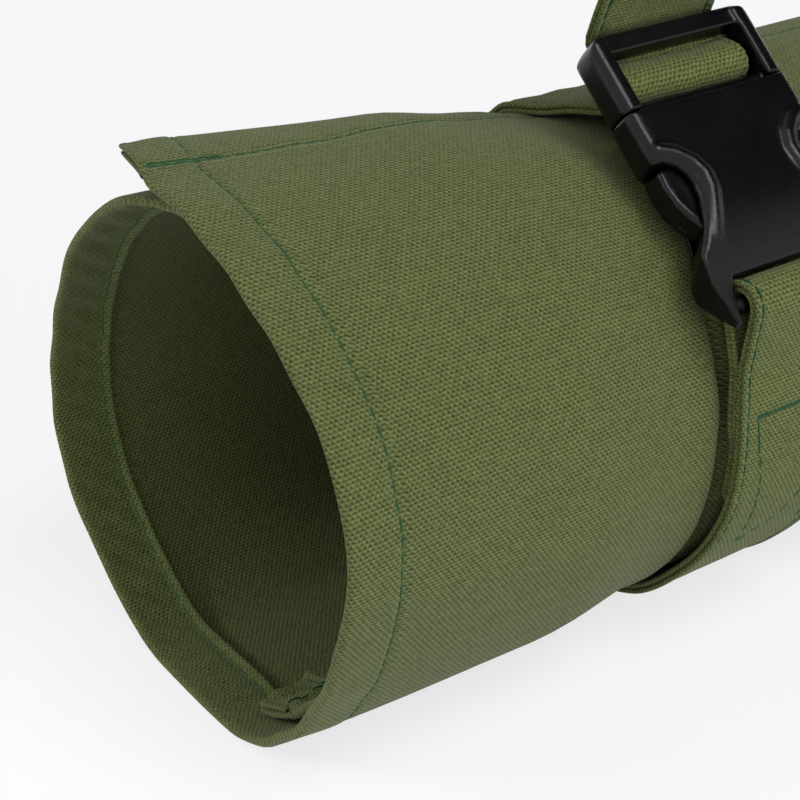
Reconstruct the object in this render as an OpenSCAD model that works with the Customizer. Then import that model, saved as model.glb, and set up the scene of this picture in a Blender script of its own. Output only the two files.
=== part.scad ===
// Canvas tool roll for carving tools: one hemmed sheet wound up, a pocket panel inside it,
// and two belts with side release buckles round it. The roll lies along X, +Z is up, and the
// origin is on the strip that it rests on, below its axis. The mouth is the -X end.

/* [Roll] */
// Length of the roll along its axis
roll_len = 300; // [240:5:380]
// Outer diameter at the mouth
roll_d = 88; // [76:1:110]
// Thickness of the canvas
canvas_t = 0.9; // [0.6:0.1:1.4]
// Angle that the sheet is wound through
wrap_deg = 545; // [500:5:580]
// Place of the outer end, above the horizontal on the far side
flap_deg = 70; // [62:1:80]
// How far the outer end's corner stands off at the mouth
flap_lift = 6; // [0:0.5:9]
// How far the underside is pressed flat
flat_sink = 3; // [1:0.1:3.6]
// How far the near side sags outwards above the floor
near_sag = 1.2; // [0:0.1:2]

/* [Hems and pockets] */
// Width of every hem
hem_w = 9.6; // [7:0.2:14]
// Thickness of the folded layer of a hem
hem_t = 0.8; // [0.5:0.1:1.2]
// Depth of the pockets along the roll
pocket_len = 140; // [90:5:180]
// Thickness of the pocket panel
pocket_t = 0.8; // [0.5:0.1:1.2]
// Bare canvas between the pocket panel and the inner end
pocket_margin = 22; // [14:1:40]
// Bare canvas between the outer end and the pocket panel
flap_bare = 110; // [20:2:140]

/* [Straps] */
// Width of each strap
strap_w = 25; // [20:1:30]
// Thickness of each strap
strap_t = 1.5; // [1:0.1:2]
// Distance between the two straps
strap_spacing = 130; // [100:2:180]
// Length of the free tail past the outer bar
tail_len = 64; // [40:2:90]
// How deep a strap draws the canvas in
cinch = 2; // [1:0.1:4]
// Length over which the canvas is drawn in beside a strap
cinch_run = 26; // [15:1:34]

/* [Buckles] */
// Place of the buckles round the roll
buckle_deg = 131; // [120:1:134]
// How far the buckle's middle lies up the strap from where its back is square to the roll
seat_shift = 5.5; // [0:0.5:8]
// Thickness of the buckle
buckle_t = 8.8; // [8.4:0.2:12]
// Length of the receiver's rails, which the prongs catch behind
rail_len = 10; // [9:0.5:14]
// Width of the rails beside the strap
rail_w = 3.6; // [3:0.1:4.5]
// Length of each finger opening
opening_len = 12.5; // [12:0.5:18]
// Depth of each finger opening
opening_w = 5.4; // [4:0.2:6.5]
// Length of the receiver's solid end
end_len = 6; // [5:0.5:9]
// Distance from the solid end to the loop bar
loop_reach = 4; // [3.8:0.1:6]
// Clear slot between the insert's two bars
slot_len = 3.4; // [3.2:0.1:6]
// Width of the insert's outer bar
outer_bar_w = 3.4; // [3:0.2:5]
// Thickness of the receiver's two plates
plate_t = 1.6; // [1.4:0.1:2]
// Radius of the bars that hold the strap
bar_r = 1.5; // [1.2:0.1:1.8]
// Width of each prong's arm
prong_w = 3.4; // [2.8:0.1:3.8]
// How far each prong catches behind its rail
catch_depth = 1.5; // [1.2:0.1:1.6]

/* [Clearances] */
// Between the turns of the sheet
layer_gap = 0.5; // [0.3:0.1:1.5]
// Between the pocket panel and the sheet behind it
pocket_gap = 0.2; // [0.1:0.1:0.6]
// Between a strap and what it lies on
strap_gap = 0.15; // [0.1:0.05:0.4]
// Between the strap's edges and the rails beside it
slot_gap = 0.8; // [0.5:0.1:1.2]
// Between the insert and the receiver's inside
slide_gap = 0.4; // [0.3:0.05:0.6]
// Between pieces that move apart
body_gap = 0.35; // [0.3:0.05:0.6]

/* [Hidden] */
$fn = 48;

canvas_green = [0.37, 0.42, 0.25];
shade_green = [0.30, 0.35, 0.20];
strap_green = [0.40, 0.45, 0.27];
thread_green = [0.16, 0.35, 0.24];
plastic_black = [0.10, 0.10, 0.11];

// Winding of the sheet: angles are measured from the outer end, so the underside is at under_deg.
full_turn = 360;
sheet_step = 8;
roll_r = roll_d / 2;
turn_pitch = canvas_t + pocket_gap + pocket_t + layer_gap;
under_deg = 270 - flap_deg;
top_again_deg = 450 - flap_deg;
bottom_r = roll_r - turn_pitch * under_deg / full_turn;
axis_z = bottom_r - flat_sink;
flat_half_deg = acos(axis_z / bottom_r);
sag_deg = 222;
sag_run_deg = 31;
hem_deg = hem_w / roll_r * 180 / PI;
margin_deg = pocket_margin / roll_r * 180 / PI;
bare_deg = flap_bare / roll_r * 180 / PI;
lift_deg = 34;
lift_run = roll_len / 2 - strap_spacing / 2 - strap_w / 2;

// Stations along the roll.
mouth_x = -roll_len / 2;
foot_x = roll_len / 2;
mouth_strap_x = -strap_spacing / 2;
foot_strap_x = strap_spacing / 2;
strap_floor_gap = 0.2;
strap_rise = strap_floor_gap + strap_t + strap_gap;
strap_edge_run = 1;
cinch_half = strap_w / 2 + strap_edge_run;
pocket_x = foot_x - hem_w - pocket_len;

// Buckle, in its own frame: X across, Y from the receiver's mouth to the insert, Z outwards.
seat_gap = 0.5;
slot_half = strap_w / 2 + slot_gap;
half_w = slot_half + rail_w;
cavity_half = slot_half + rail_w / 4;
seat_r = roll_r - cinch + seat_gap;
wrap_r = bar_r + strap_gap + strap_t / 2;
inner_z = plate_t + slide_gap;
insert_h = buckle_t - 2 * inner_z;

// Receiver, from its mouth at y = 0 to the ends of its legs.
leg_tip = 1.5;
leg_inner = strap_w / 2 + slot_gap / 2;
wall_y = -rail_len - opening_len;
plate_end_y = wall_y - end_len;
loop_bar_y = plate_end_y - loop_reach;
loop_bar_z = 4.4;
leg_end_y = loop_bar_y - bar_r - leg_tip;

// Insert, from its base just outside that mouth to its outer bar.
base_len = 1.6;
base_in = 1.6;
base_slot = 0.65;
lock_bar_y = base_len + base_slot + strap_t + strap_gap + bar_r;
lock_bar_z = buckle_t / 2;
outer_bar_y = lock_bar_y + bar_r + slot_len;
outer_bar_h = 3.4;
insert_end_y = outer_bar_y + outer_bar_w;
tail_room = 3.15;
tail_z = tail_room + strap_t / 2;
outer_bar_z = tail_z + strap_t / 2 + strap_gap;
foot_y = (insert_end_y + leg_end_y) / 2 - seat_shift;

// Prongs: each has room to be pinched towards the guide between them.
pinch_room = 1.2;
pinch_sweep = 4.6;
root_swell = 0.2;
prong_root_r = prong_w / 2 + root_swell;
prong_root_y = -base_in - body_gap - prong_root_r;
prong_x = cavity_half - catch_depth - pinch_room - prong_w / 2;
shoulder_y = -rail_len - slide_gap;
barb_x = cavity_half + catch_depth;
barb_len = 4;
prong_tip_y = wall_y + slide_gap;
guide_half = prong_x - prong_w / 2 - pinch_sweep;
guide_past_rail = 5.5;

// Angles where the straps change what they lie on, measured from the far horizontal.
near_deg = 180;
stack_run_deg = 16;
settle_run_deg = 12;
sewn_past_deg = 1.5;
belt_step = 6;
lie_step = 3;
lie_deg = 1;
bend_steps = 10;
seam_gap = 0.1;
thread_t = 0.4;
tack_w = 1.8;
tack_from_seam = 1.5;

function smooth(t) = let (c = min(max(t, 0), 1)) c * c * (3 - 2 * c);
function pull(x, at) = 1 - smooth((abs(x - at) - cinch_half) / cinch_run);
function drawn_in(x) = max(pull(x, mouth_strap_x), pull(x, foot_strap_x));
function sheet_r(x) = roll_r - cinch * drawn_in(x);
function sag(turn) =
    near_sag * exp(-pow(((flap_deg + turn) % full_turn - sag_deg) / sag_run_deg, 2));
function lift(x, turn) =
    flap_lift * pow(max(1 - (x - mouth_x) / lift_run, 0), 1.5) * pow(max(1 - turn / lift_deg, 0), 2);

// A point of the sheet: off is the depth below its outer face.
function sheet_point(x, turn, off) =
    let (
        r = sheet_r(x) - turn_pitch * turn / full_turn + lift(x, turn) + sag(turn) * (1 - drawn_in(x)) - off,
        ground = (turn > top_again_deg ? turn_pitch : 0) + strap_rise * drawn_in(x),
        a = flap_deg + turn
    )
    [x, r * cos(a), max(axis_z + r * sin(a), ground + off)];

function sorted(v) = len(v) < 2 ? v : concat(
    sorted([for (i = [1 : len(v) - 1]) if (v[i] < v[0]) v[i]]), [v[0]],
    sorted([for (i = [1 : len(v) - 1]) if (v[i] >= v[0]) v[i]]));
function span(from, to, step) =
    let (n = max(1, ceil((to - from) / step - 0.01)))
    [for (i = [0 : n - 1]) from + (to - from) * i / n];
// The flat strip reaches further on the near side, where the sheet sags.
near_edge_r = roll_r - turn_pitch * (under_deg - flat_half_deg) / full_turn + sag(under_deg - flat_half_deg);
near_flat_deg = acos(axis_z / near_edge_r);
function turns_between(from, to) =
    let (
        breaks = [hem_deg, bare_deg, under_deg - near_flat_deg, under_deg + flat_half_deg,
                  wrap_deg - margin_deg, wrap_deg - hem_deg],
        inside = [for (b = breaks) if (b > from && b < to) b],
        ends = concat([from], sorted(inside), [to])
    )
    concat([for (i = [0 : len(ends) - 2]) each span(ends[i], ends[i + 1], sheet_step)], [to]);
function stations_between(from, to) =
    let (
        d = cinch_half,
        e = cinch_half + cinch_run / 2,
        f = cinch_half + cinch_run,
        half = [foot_strap_x - f, foot_strap_x - e, foot_strap_x - d,
                foot_strap_x + d, foot_strap_x + e, foot_strap_x + f],
        breaks = concat([mouth_x + hem_w], [for (i = [5 : -1 : 0]) -half[i]], [pocket_x], half,
                        [foot_x - hem_w]),
        inside = [for (b = breaks) if (b > from + 1 && b < to - 1) b]
    )
    concat([from], sorted(inside), [to]);

// A layer of cloth that follows the sheet, between two depths.
module wound_layer(x_from, x_to, turn_from, turn_to, off_out, off_in) {
    xs = stations_between(x_from, x_to);
    turns = turns_between(turn_from, turn_to);
    nx = len(xs);
    nt = len(turns);
    side = nx * nt;
    points = [for (off = [off_out, off_in]) for (x = xs) for (t = turns) sheet_point(x, t, off)];
    function quad(a, b, c, d) = [[a, b, c], [a, c, d]];
    outer = [for (i = [0 : nx - 2]) for (j = [0 : nt - 2])
        each quad(i * nt + j, i * nt + j + 1, (i + 1) * nt + j + 1, (i + 1) * nt + j)];
    inner = [for (f = outer) [f[2] + side, f[1] + side, f[0] + side]];
    ends = [for (j = [0 : nt - 2]) each concat(
        quad(j, j + side, j + 1 + side, j + 1),
        quad(side - nt + j + 1, side - nt + j + 1 + side, side - nt + j + side, side - nt + j))];
    edges = [for (i = [0 : nx - 2]) each concat(
        quad(i * nt, (i + 1) * nt, (i + 1) * nt + side, i * nt + side),
        quad((i + 1) * nt + nt - 1, i * nt + nt - 1, i * nt + nt - 1 + side, (i + 1) * nt + nt - 1 + side))];
    polyhedron(points, concat(outer, inner, ends, edges));
}

// Strap routes are drawn in a plane across the roll and extruded to the strap's width.
function polar(r, a) = [r * cos(a), axis_z + r * sin(a)];
function on_roll(y, z) =
    let (
        a = buckle_deg - 90,
        along = y - foot_y,
        out = seat_r + z
    )
    [along * cos(a) - out * sin(a), axis_z + along * sin(a) + out * cos(a)];
function strap_turn(a) = a > full_turn + flap_deg ? a - full_turn - flap_deg : a - flap_deg;
function lying_r(a) = roll_r - cinch - turn_pitch * strap_turn(a) / full_turn + strap_gap + strap_t / 2;
function route_normal(route, i) =
    let (
        a = route[max(i - 1, 0)],
        b = route[min(i + 1, len(route) - 1)],
        d = (b - a) / norm(b - a)
    )
    [-d.y, d.x];
function ribbon(route, t) = concat(
    [for (i = [0 : len(route) - 1]) route[i] + route_normal(route, i) * t / 2],
    [for (i = [len(route) - 1 : -1 : 0]) route[i] - route_normal(route, i) * t / 2]);
function bend(centre, r, from, to) =
    [for (i = [0 : bend_steps]) let (a = from + (to - from) * i / bend_steps) centre + r * [cos(a), sin(a)]];
// Angle at which a strap coming from p meets a bar that it wraps.
function meet_deg(p, centre, r, side) =
    let (d = p - centre)
    atan2(d.y, d.x) + side * acos(r / norm(d));

// The loop's under layer runs straight from the loop bar until it touches the roll, and is sewn from there.
loop_bar = on_roll(loop_bar_y, loop_bar_z);
loop_way = loop_bar - [0, axis_z];
touch_deg = atan2(loop_way.y, loop_way.x) + acos((lying_r(near_deg) + wrap_r) / norm(loop_way));
sewn_deg = touch_deg + sewn_past_deg;
stack_end_deg = sewn_deg + stack_run_deg;
stack = strap_t + strap_gap;

// The strap leaves the roll below the outer end's edge, crosses that edge, and lies on the
// outer turn until it runs straight to the lock bar.
lock_bar = on_roll(lock_bar_y, lock_bar_z);
lock_way = lock_bar - [0, axis_z];
off_deg = max(atan2(lock_way.y, lock_way.x) - acos((lying_r(flap_deg) + wrap_r) / norm(lock_way)),
              flap_deg + lie_deg);
top_deg = full_turn + flap_deg - acos(lying_r(full_turn + flap_deg) / lying_r(flap_deg));
belt_end_deg = top_deg - body_gap / roll_r * 180 / PI;
over_edge = [for (a = concat(span(flap_deg, off_deg, lie_step), [off_deg])) polar(lying_r(a), a)];
function belt_r(a) = lying_r(a) + stack * (1 - smooth((a - stack_end_deg) / settle_run_deg));
function on_floor(p) = [p.x, max(p.y, strap_floor_gap + strap_t / 2)];
belt_route = [for (a = concat(span(sewn_deg, belt_end_deg, belt_step), [belt_end_deg]))
    on_floor(polar(belt_r(a), a))];
under_layer = [for (a = span(stack_end_deg - sewn_past_deg, touch_deg, -belt_step / 2)) polar(lying_r(a), a)];
loop_bend = bend(loop_bar, wrap_r, meet_deg(under_layer[len(under_layer) - 1], loop_bar, wrap_r, 1),
                 full_turn + meet_deg(belt_route[0], loop_bar, wrap_r, -1));
seam_way = loop_bend[bend_steps] - belt_route[0];
seam_dir = seam_way / norm(seam_way);
loop_route = concat(under_layer, loop_bend, [belt_route[0] + seam_dir * seam_gap]);
level_out = 0.5;
bar_dip = 0.9;
strap_exit_y = insert_end_y + level_out;
tail_out = on_roll(outer_bar_y - bar_dip, tail_z);
top_route = concat(
    [polar(lying_r(top_deg), top_deg)], over_edge,
    bend(lock_bar, wrap_r, meet_deg(over_edge[len(over_edge) - 1], lock_bar, wrap_r, -1),
         meet_deg(tail_out, lock_bar, wrap_r, 1) - full_turn),
    [tail_out, on_roll(strap_exit_y, tail_z)]);

// A dense row of stitches closes the loop below the receiver.
seam_out = [-seam_dir.y, seam_dir.x] * (strap_t + thread_t) / 2;
tack_route = [for (d = [tack_from_seam, tack_from_seam + tack_w]) belt_route[0] + seam_dir * d + seam_out];

// The tail rises, then leans away from the buckle under its own weight.
tail_rise_deg = 52;
tail_fall_deg = 86;
tail_steps = 16;
function tail_turn(t) = tail_rise_deg * smooth(t / 0.3) - tail_fall_deg * smooth((t - 0.35) / 0.65);
function tail_walk(i) = i == 0 ? [strap_exit_y + body_gap, tail_z] :
    tail_walk(i - 1) + tail_len / tail_steps
        * [cos(tail_turn((i - 0.5) / tail_steps)), sin(tail_turn((i - 0.5) / tail_steps))];
tail_route = [for (i = [0 : tail_steps]) let (p = tail_walk(i)) on_roll(p.x, p.y)];

module strap_piece(x, route, w = strap_w, t = strap_t) {
    translate([x - w / 2, 0, 0])
        rotate([90, 0, 90])
            linear_extrude(w)
                polygon(ribbon(route, t));
}

module buckle_place(x) {
    translate([x, 0, axis_z])
        rotate([buckle_deg - 90, 0, 0])
            translate([0, -foot_y, seat_r])
                children();
}

module mirrored() {
    children();
    mirror([1, 0, 0])
        children();
}

module cross_bar(y, z, half) {
    translate([-half, y, z])
        rotate([0, 90, 0])
            cylinder(r = bar_r, h = 2 * half);
}

// Outline of the receiver's plates: straight rails, finger openings, then a waist.
opening_y = -rail_len - opening_len / 2;
corner_cut = 1;
module plate_outline() {
    difference() {
        translate([-half_w, plate_end_y])
            square([2 * half_w, -plate_end_y]);
        for (s = [-1, 1])
            translate([s * half_w, opening_y])
                scale([2 * opening_w / opening_len, 1])
                    circle(d = opening_len);
        for (s = [-1, 1])
            translate([s * (half_w + leg_inner) / 2 - (half_w - leg_inner) / 2, plate_end_y - corner_cut])
                square([half_w - leg_inner, 2 * corner_cut]);
    }
}

// Legs carry the loop bar: each widens from its tip to the end of the plates.
leg_tip_w = 1.2;
leg_root_w = 1.6;
leg_shoulder = 2;
module leg() {
    plate_y = plate_end_y - leg_end_y;
    root_y = plate_y + end_len - corner_cut / 2;
    translate([leg_inner, leg_end_y, plate_t / 2])
        linear_extrude(buckle_t - 1.5 * plate_t)
            polygon([[0, root_y], [0, 0], [leg_tip_w, 0], [half_w - leg_inner, plate_y],
                     [half_w - leg_inner, plate_y + leg_shoulder], [leg_root_w, root_y]]);
}

// Bars and blocks run this far into what carries them.
tie_in = 1;

module receiver(x) {
    buckle_place(x) {
        for (z = [0, buckle_t - plate_t])
            translate([0, 0, z])
                linear_extrude(plate_t)
                    plate_outline();
        mirrored() {
            translate([cavity_half, -rail_len, 0])
                cube([half_w - cavity_half, rail_len, buckle_t]);
            leg();
        }
        translate([-leg_inner - tie_in / 2, plate_end_y, 0])
            cube([2 * leg_inner + tie_in, end_len, buckle_t]);
        cross_bar(loop_bar_y, loop_bar_z, leg_inner + leg_tip_w / 2);
    }
}

rail_step = 0.2;
module insert(x) {
    buckle_place(x) {
        mirrored()
            translate([slot_half, body_gap, plate_t - rail_step])
                cube([rail_w - rail_step, insert_end_y - body_gap, buckle_t - 2 * (plate_t - rail_step)]);
        translate([-slot_half - tie_in, outer_bar_y, outer_bar_z])
            cube([2 * (slot_half + tie_in), outer_bar_w, outer_bar_h]);
        cross_bar(lock_bar_y, lock_bar_z, slot_half + tie_in);
        translate([-slot_half - tie_in, body_gap, inner_z])
            cube([2 * (slot_half + tie_in), base_len - body_gap, insert_h]);
        translate([-cavity_half + slide_gap, -base_in, inner_z])
            cube([2 * (cavity_half - slide_gap), base_in + tie_in, insert_h]);
        translate([-guide_half, -rail_len - guide_past_rail, inner_z])
            cube([2 * guide_half, rail_len + guide_past_rail, insert_h]);
    }
}

// A prong turns about its round root, and its barb catches behind the rail.
tip_share = 0.6;
module prong(x, side) {
    tip = prong_w * tip_share;
    inside = prong_x - prong_w / 2;
    tip_bend = [for (a = [0 : -20 : -180]) [inside + tip + tip * cos(a), prong_tip_y + tip + tip * sin(a)]];
    buckle_place(x)
        mirror([side < 0 ? 1 : 0, 0, 0])
            translate([0, 0, inner_z]) {
                translate([prong_x, prong_root_y, 0])
                    cylinder(r = prong_root_r, h = insert_h);
                linear_extrude(insert_h)
                    polygon(concat(
                        [[inside, prong_root_y], [inside + prong_w, prong_root_y],
                         [inside + prong_w, shoulder_y], [barb_x, shoulder_y],
                         [barb_x, shoulder_y - barb_len]],
                        tip_bend));
            }
}

module panel() {
    color(canvas_green)
        wound_layer(mouth_x, foot_x, 0, wrap_deg, 0, canvas_t);
}

module pocket_panel() {
    color(shade_green)
        wound_layer(pocket_x, foot_x - hem_w, bare_deg, wrap_deg - margin_deg,
                    canvas_t + pocket_gap, canvas_t + pocket_gap + pocket_t);
}

module mouth_hem() {
    color(shade_green)
        wound_layer(mouth_x, mouth_x + hem_w, 0, wrap_deg, canvas_t, canvas_t + hem_t);
}

module foot_hem() {
    color(shade_green)
        wound_layer(foot_x - hem_w, foot_x, 0, wrap_deg, canvas_t, canvas_t + hem_t);
}

module flap_hem() {
    color(shade_green)
        wound_layer(mouth_x + hem_w, foot_x - hem_w, 0, hem_deg, canvas_t, canvas_t + hem_t);
}

module inner_hem() {
    color(shade_green)
        wound_layer(mouth_x + hem_w, foot_x - hem_w, wrap_deg - hem_deg, wrap_deg,
                    canvas_t, canvas_t + hem_t);
}

module belt(x) {
    color(strap_green)
        strap_piece(x, belt_route);
}

module loop(x) {
    color(strap_green)
        strap_piece(x, loop_route);
}

module top_strap(x) {
    color(strap_green)
        strap_piece(x, top_route);
}

module tail(x) {
    color(strap_green)
        strap_piece(x, tail_route);
}

module bartack(x) {
    color(thread_green)
        strap_piece(x, tack_route, strap_w - 2 * tack_w, thread_t);
}

panel();
pocket_panel();
mouth_hem();
foot_hem();
flap_hem();
inner_hem();
belt(mouth_strap_x);  // mouth_belt
loop(mouth_strap_x);  // mouth_loop
bartack(mouth_strap_x);  // mouth_bartack
top_strap(mouth_strap_x);  // mouth_top_strap
tail(mouth_strap_x);  // mouth_tail
color(plastic_black) receiver(mouth_strap_x);  // mouth_receiver
color(plastic_black) insert(mouth_strap_x);  // mouth_insert
color(plastic_black) prong(mouth_strap_x, -1);  // mouth_left_prong
color(plastic_black) prong(mouth_strap_x, 1);  // mouth_right_prong
belt(foot_strap_x);  // foot_belt
loop(foot_strap_x);  // foot_loop
bartack(foot_strap_x);  // foot_bartack
top_strap(foot_strap_x);  // foot_top_strap
tail(foot_strap_x);  // foot_tail
color(plastic_black) receiver(foot_strap_x);  // foot_receiver
color(plastic_black) insert(foot_strap_x);  // foot_insert
color(plastic_black) prong(foot_strap_x, -1);  // foot_left_prong
color(plastic_black) prong(foot_strap_x, 1);  // foot_right_prong
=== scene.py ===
# Canvas roll for carving tools, with two belts and side release buckles
import math

import bmesh
import bpy
import numpy as np
import openvdb
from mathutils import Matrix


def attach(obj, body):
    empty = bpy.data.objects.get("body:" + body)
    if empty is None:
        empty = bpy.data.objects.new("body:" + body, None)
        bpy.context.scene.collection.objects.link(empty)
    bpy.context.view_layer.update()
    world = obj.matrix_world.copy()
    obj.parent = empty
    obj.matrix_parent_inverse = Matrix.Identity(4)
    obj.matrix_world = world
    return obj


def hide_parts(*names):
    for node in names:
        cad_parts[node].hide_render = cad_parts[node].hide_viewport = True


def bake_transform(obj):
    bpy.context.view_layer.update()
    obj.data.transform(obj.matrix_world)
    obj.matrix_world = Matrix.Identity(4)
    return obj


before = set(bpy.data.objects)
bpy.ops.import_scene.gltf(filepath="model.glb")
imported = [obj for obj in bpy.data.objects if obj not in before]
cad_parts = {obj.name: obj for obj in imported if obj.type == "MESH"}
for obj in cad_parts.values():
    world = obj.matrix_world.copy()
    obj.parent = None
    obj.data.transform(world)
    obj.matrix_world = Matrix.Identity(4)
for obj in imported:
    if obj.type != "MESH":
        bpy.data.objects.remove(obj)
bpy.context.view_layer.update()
mm = 0.001  # everything below is worked out in millimetres
print("frame loaded,", len(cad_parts), "nodes")

# camera: same place and lens as the photograph
cameraView = {"at": (-276.3, -228.9, 191.3), "yawDeg": 36.29, "downDeg": 28.06, "lens": 90.0}
camera = bpy.data.objects.new("camera", bpy.data.cameras.new("camera"))
bpy.context.scene.collection.objects.link(camera)
camera.location = [c * mm for c in cameraView["at"]]
camera.rotation_euler = (math.radians(90 - cameraView["downDeg"]), 0, math.radians(-cameraView["yawDeg"]))
camera.data.lens = cameraView["lens"]
camera.data.clip_start = 0.01
bpy.context.scene.camera = camera
bpy.context.scene.view_settings.view_transform = "Standard"


# small helpers
def smooth(t):
    t = np.clip(t, 0, 1)
    return t * t * (3 - 2 * t)


def hump(d, width):
    return np.exp(-((d / width) ** 2))


def fading(t):
    return np.maximum(1 - t, 0)


def between(deg, rise, riseRun, fall, fallRun):  # one between two angles, with a soft start and end
    return smooth((deg - rise) / riseRun) * (1 - smooth((deg - fall) / fallRun))


def least(first, *others):
    for gap in others:
        first = np.minimum(first, gap)
    return first


def unit(v):
    return v / np.maximum(np.linalg.norm(v, axis=-1, keepdims=True), 1e-9)


def addNode(tree, kind, settings=None, values=None):
    made = tree.nodes.new(kind)
    for key, value in (settings or {}).items():
        setattr(made, key, value)
    for key, value in (values or {}).items():
        if isinstance(value, bpy.types.NodeSocket):
            tree.links.new(value, made.inputs[key])
        else:
            made.inputs[key].default_value = value
    return made


def calc(tree, operation, a, b=0.0, c=0.0):
    return addNode(tree, "ShaderNodeMath", {"operation": operation}, {0: a, 1: b, 2: c}).outputs[0]


def onVector(tree, operation, *given):
    return addNode(tree, "ShaderNodeVectorMath", {"operation": operation}, dict(enumerate(given))).outputs


def noise(tree, place, scale, detail, roughness=0.5):
    return addNode(tree, "ShaderNodeTexNoise", None,
                   {"Vector": place, "Scale": scale, "Detail": detail, "Roughness": roughness}).outputs


def newMaterial(name, values):
    material = bpy.data.materials.new(name)
    material.use_nodes = True
    tree = material.node_tree
    shader = tree.nodes["Principled BSDF"]
    for socket, value in values.items():
        shader.inputs[socket].default_value = value
    return material, tree, shader


def colourAndBump(tree, shader, look, share, height):
    colour = addNode(tree, "ShaderNodeMix", {"data_type": "RGBA"},
                     {"Factor": share, "A": look["dark"], "B": look["light"]})
    tree.links.new(colour.outputs["Result"], shader.inputs["Base Color"])
    bump = addNode(tree, "ShaderNodeBump", None,
                   {"Height": height, "Distance": look["bump"] * mm, "Strength": look["bumpStrength"]})
    tree.links.new(bump.outputs["Normal"], shader.inputs["Normal"])


def makePiece(name, points, faces, material, cloth=None):
    mesh = bpy.data.meshes.new(name)
    mesh.from_pydata((np.asarray(points) * mm).tolist(), [], faces)
    mesh.polygons.foreach_set("use_smooth", [True] * len(mesh.polygons))
    if cloth is not None:  # weave coordinates, in metres along and across the cloth
        corner = np.empty(len(mesh.loops), np.int32)
        mesh.loops.foreach_get("vertex_index", corner)
        layer = mesh.uv_layers.new(name="cloth")
        layer.data.foreach_set("uv", (np.asarray(cloth) * mm)[corner].astype(np.float32).ravel())
    mesh.materials.append(material)
    mesh.update()
    piece = bpy.data.objects.new(name, mesh)
    bpy.context.scene.collection.objects.link(piece)
    return piece


def faceOutwards(piece):
    shape = bmesh.new()
    shape.from_mesh(piece.data)
    bmesh.ops.recalc_face_normals(shape, faces=shape.faces)
    shape.to_mesh(piece.data)
    shape.free()


# canvas: thick threads along the roll, finer ones round it, each crossing a little different
# the threads' relief also colours them: painted shade between threads, painted light on their crossings
weaveAndShade = {
    "row": 0.61, "column": 0.446, "middle": 0.44, "ridge": 0.21, "lean": 1.75, "crownAndShade": 0.28, "twist": 0.09,
    "crossing": 0.22, "fuzz": 1.2, "slub": 0.14, "mottle": 0.06, "wobble": 0.6, "wobbleScale": 420.0,
    "mottleScale": 70.0, "fuzzScale": 6000.0, "slubDraw": (0.9, 0.03, 0.0), "bump": 0.12, "bumpStrength": 0.8,
}
clothColours = {
    "oliveCanvas": {"light": (0.177, 0.21, 0.0725, 1), "dark": (0.031, 0.037, 0.0113, 1)},
    "strapCanvas": {"light": (0.184, 0.219, 0.0695, 1), "dark": (0.0305, 0.0367, 0.0107, 1)},
}


def canvasMaterial(name):
    w = {**weaveAndShade, **clothColours[name]}
    material, tree, shader = newMaterial(name, {"Roughness": 0.92, "Specular IOR Level": 0.12,
                                                "Sheen Weight": 0.1, "Sheen Roughness": 0.5})
    place = addNode(tree, "ShaderNodeUVMap", {"uv_map": "cloth"}).outputs["UV"]
    threads = onVector(tree, "MULTIPLY", place, (1 / (w["row"] * mm), 1 / (w["column"] * mm), 0.0))[0]
    wander = noise(tree, place, w["wobbleScale"], 2.0)["Color"]
    drift = onVector(tree, "MULTIPLY_ADD", wander, (w["wobble"], w["wobble"], 0.0), threads)[0]
    parts = addNode(tree, "ShaderNodeSeparateXYZ", None, {0: drift})
    across, along = (calc(tree, "MULTIPLY", parts.outputs[k], math.pi) for k in (0, 1))
    # painted shade: each row's colour is darker on one side, shifted by lean as though light fell from above
    ridge = calc(tree, "COSINE", calc(tree, "ADD", calc(tree, "MULTIPLY", across, 2.0), w["lean"]))
    # crossings lit and shaded in turn: painted light and painted shade of the weave, also used for the bump
    crownAndShade, twist = (calc(tree, "MULTIPLY", calc(tree, wave, across), calc(tree, wave, along))
                    for wave in ("SINE", "COSINE"))
    height = calc(tree, "MULTIPLY", ridge, -w["ridge"])
    for wave, share in ((crownAndShade, "crownAndShade"), (twist, "twist")):
        height = calc(tree, "ADD", height, calc(tree, "MULTIPLY", wave, w[share]))
    cell = onVector(tree, "FLOOR", drift)[0]
    crossing = addNode(tree, "ShaderNodeTexWhiteNoise", {"noise_dimensions": "2D"}, {"Vector": cell})
    slub = noise(tree, onVector(tree, "MULTIPLY", threads, w["slubDraw"])[0], 1.0, 1.0)["Fac"]
    mottle = noise(tree, place, w["mottleScale"], 4.0)["Fac"]
    fuzz = noise(tree, place, w["fuzzScale"], 1.0)["Fac"]
    # painted light and shade of the relief, then the cloth's own uneven tone from the noises below
    shade = calc(tree, "ADD", height, w["middle"])
    randoms = {"crossing": crossing.outputs["Value"], "fuzz": fuzz, "slub": slub, "mottle": mottle}
    for share, random in randoms.items():
        uneven = calc(tree, "MULTIPLY", calc(tree, "SUBTRACT", random, 0.5), w[share])
        shade = calc(tree, "ADD", shade, uneven)
    colourAndBump(tree, shader, w, shade, height)
    return material


# sewing thread's finish
threadLook = {"light": (0.034, 0.118, 0.05, 1), "dark": (0.011, 0.047, 0.019, 1), "twist": 900.0,
              "bump": 0.06, "bumpStrength": 0.6}


def threadMaterial():
    material, tree, shader = newMaterial("greenThread", {"Roughness": 0.6, "Specular IOR Level": 0.2})
    place = addNode(tree, "ShaderNodeTexCoord").outputs["Object"]
    twist = noise(tree, place, threadLook["twist"], 2.0)["Fac"]
    colourAndBump(tree, shader, threadLook, twist, twist)
    return material


# buckle's finish: fine moulded grain, and a haze that makes some places duller
plasticLook = {
    "light": (0.0026, 0.0027, 0.0035, 1), "dark": (0.0015, 0.0016, 0.0021, 1), "grain": 2600.0, "haze": 140.0,
    "hazeRoughness": 0.12, "leastRoughness": 0.19, "bump": 0.06, "bumpStrength": 0.7,
}


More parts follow.
